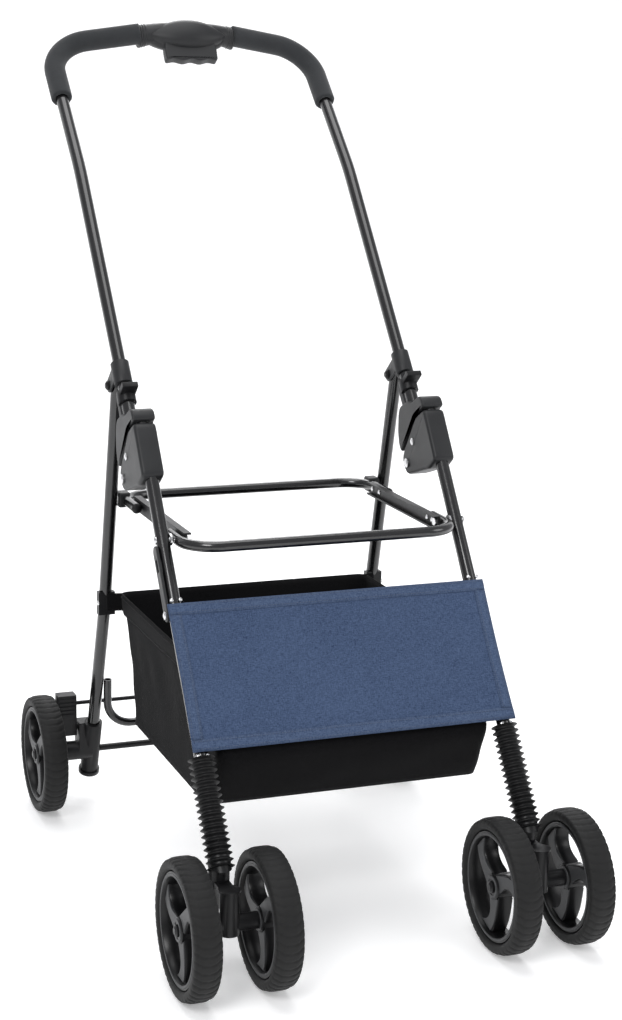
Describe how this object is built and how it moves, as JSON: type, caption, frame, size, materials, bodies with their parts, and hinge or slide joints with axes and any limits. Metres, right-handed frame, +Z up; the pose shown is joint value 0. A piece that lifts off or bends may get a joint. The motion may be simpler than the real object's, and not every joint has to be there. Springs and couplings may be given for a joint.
{
  "type": "folding trolley frame",
  "caption": "Folding trolley frame with twin swivel casters in front, braked rear wheels, a carrier ring, a fabric basket with a front panel and a foam-grip push handle.",
  "frame": {"origin": "on the floor under the middle of the bounding box", "axes": "+Z up, +Y to the rear towards the person pushing, X across"},
  "size_m": [0.494, 0.8181, 0.97],
  "materials": {
    "tube": "gloss powder coat",
    "lock_plastic": "fine-grained satin",
    "rivet": "bright",
    "panel_cloth": "heathered woven, stitched hems",
    "basket_cloth": "coarse woven",
    "bellows_rubber": "satin",
    "caster_plastic": "satin",
    "tyre": "foamed rubber, fine sipes",
    "rim": "gloss with grey spoke faces",
    "foam": "matte foam",
    "spring_steel": "plain",
    "black_plastic": "satin"
  },
  "bodies": {
    "front_frame": {"front_leg_left": "tube", "front_leg_right": "tube", "lower_lock_left": "lock_plastic", "lower_lock_right": "lock_plastic", "fold_pivot_pins": "rivet", "lock_screws": "rivet", "ring_pivot_pins": "rivet", "front_panel": "panel_cloth", "panel_rivets": "rivet", "basket": "basket_cloth", "bellows_left": "bellows_rubber", "bellows_right": "bellows_rubber", "latch_pin": "rivet", "strut_spring_left": "spring_steel", "strut_spring_right": "spring_steel"},
    "latch": {"fold_latch": "lock_plastic"},
    "strut_left": {"strut_left": "tube"},
    "strut_right": {"strut_right": "tube"},
    "caster_left": {"caster_carrier_left": "caster_plastic", "caster_axle_left": "rivet"},
    "caster_right": {"caster_carrier_right": "caster_plastic", "caster_axle_right": "rivet"},
    "wheel_left_outer": {"tyre_left_outer": "tyre", "rim_left_outer": "rim"},
    "wheel_left_inner": {"tyre_left_inner": "tyre", "rim_left_inner": "rim"},
    "wheel_right_inner": {"tyre_right_inner": "tyre", "rim_right_inner": "rim"},
    "wheel_right_outer": {"tyre_right_outer": "tyre", "rim_right_outer": "rim"},
    "handle": {"handle_bar": "tube", "foam_grip_left": "foam", "foam_grip_right": "foam", "release_shell_front": "lock_plastic", "release_shell_back": "lock_plastic", "upper_lock_left": "lock_plastic", "upper_lock_right": "lock_plastic", "leg_bracket_left": "lock_plastic", "leg_bracket_right": "lock_plastic", "bracket_pins": "black_plastic"},
    "release": {"release_lever": "lock_plastic"},
    "slider_left": {"lock_slider_left": "lock_plastic"},
    "slider_right": {"lock_slider_right": "lock_plastic"},
    "ring": {"ring_front_tube": "tube", "ring_rear_tube": "tube", "ring_bar_left": "tube", "ring_bar_right": "tube", "ring_rivets": "rivet"},
    "rear_frame": {"rear_leg_left": "tube", "rear_leg_right": "tube", "rear_axle": "tube", "cross_tube": "tube", "foot_block_left": "black_plastic", "foot_block_right": "black_plastic", "rear_fittings": "black_plastic"},
    "rear_wheel_left": {"rear_tyre_left": "tyre", "rear_rim_left": "rim"},
    "rear_wheel_right": {"rear_tyre_right": "tyre", "rear_rim_right": "rim"},
    "brake": {"brake_bar": "lock_plastic"}
  },
  "joints": [
    {"name": "fold", "type": "hinge", "parent": "front_frame", "child": "handle", "pos_m": [0, 0.00891, 0.45964], "axis": [1, 0, 0], "range_deg": [-125, 0], "deforming": ["basket"]},
    {"name": "rear_fold", "type": "hinge", "parent": "handle", "child": "rear_frame", "pos_m": [0, 0.07988, 0.55416], "axis": [1, 0, 0], "range_deg": [0, 82]},
    {"name": "ring_fold", "type": "hinge", "parent": "front_frame", "child": "ring", "pos_m": [0, -0.10251, 0.41396], "axis": [1, 0, 0], "range_deg": [-69, 0]},
    {"name": "latch_swing", "type": "hinge", "parent": "front_frame", "child": "latch", "pos_m": [-0.182, -0.15257, 0.34403], "axis": [1, 0, 0], "range_deg": [-70, 0]},
    {"name": "release_squeeze", "type": "slide", "parent": "handle", "child": "release", "axis": [0, 0.5, 0.866], "range_m": [0, 0.005], "stiffness_N_per_m": 900, "springref_m": -0.004},
    {"name": "slider_left_lift", "type": "slide", "parent": "handle", "child": "slider_left", "axis": [0, 0.6455, 0.7638], "range_m": [0, 0.0075]},
    {"name": "slider_right_lift", "type": "slide", "parent": "handle", "child": "slider_right", "axis": [0, 0.6455, 0.7638], "range_m": [0, 0.0075]},
    {"name": "brake_press", "type": "hinge", "parent": "rear_frame", "child": "brake", "pos_m": [0, 0.21991, 0.1015], "axis": [1, 0, 0], "range_deg": [-20, 0]},
    {"name": "strut_left_travel", "type": "slide", "parent": "front_frame", "child": "strut_left", "axis": [0, 0.5821, 0.8131], "range_m": [0, 0.018], "stiffness_N_per_m": 4000, "springref_m": -0.012, "deforming": ["strut_spring_left", "bellows_left"]},
    {"name": "caster_left_swivel", "type": "hinge", "parent": "strut_left", "child": "caster_left", "pos_m": [-0.1725, -0.30509, 0.131], "axis": [0, 0, 1], "continuous": true},
    {"name": "wheel_left_outer_spin", "type": "hinge", "parent": "caster_left", "child": "wheel_left_outer", "pos_m": [-0.1725, -0.33709, 0.0725], "axis": [1, 0, 0], "continuous": true},
    {"name": "wheel_left_inner_spin", "type": "hinge", "parent": "caster_left", "child": "wheel_left_inner", "pos_m": [-0.1725, -0.33709, 0.0725], "axis": [1, 0, 0], "continuous": true},
    {"name": "rear_wheel_left_spin", "type": "hinge", "parent": "rear_frame", "child": "rear_wheel_left", "pos_m": [-0.232, 0.21591, 0.0725], "axis": [1, 0, 0], "continuous": true},
    {"name": "strut_right_travel", "type": "slide", "parent": "front_frame", "child": "strut_right", "axis": [0, 0.5821, 0.8131], "range_m": [0, 0.018], "stiffness_N_per_m": 4000, "springref_m": -0.012, "deforming": ["strut_spring_right", "bellows_right"]},
    {"name": "caster_right_swivel", "type": "hinge", "parent": "strut_right", "child": "caster_right", "pos_m": [0.1725, -0.30509, 0.131], "axis": [0, 0, 1], "continuous": true},
    {"name": "wheel_right_outer_spin", "type": "hinge", "parent": "caster_right", "child": "wheel_right_outer", "pos_m": [0.1725, -0.33709, 0.0725], "axis": [1, 0, 0], "continuous": true},
    {"name": "wheel_right_inner_spin", "type": "hinge", "parent": "caster_right", "child": "wheel_right_inner", "pos_m": [0.1725, -0.33709, 0.0725], "axis": [1, 0, 0], "continuous": true},
    {"name": "rear_wheel_right_spin", "type": "hinge", "parent": "rear_frame", "child": "rear_wheel_right", "pos_m": [0.232, 0.21591, 0.0725], "axis": [1, 0, 0], "continuous": true}
  ],
  "couplings": [
    {"joint": "rear_fold", "follows": "fold", "ratio": -0.653},
    {"joint": "ring_fold", "follows": "fold", "ratio": 0.548},
    {"joint": "slider_left_lift", "follows": "release_squeeze", "ratio": 1.5},
    {"joint": "slider_right_lift", "follows": "release_squeeze", "ratio": 1.5}
  ]
}
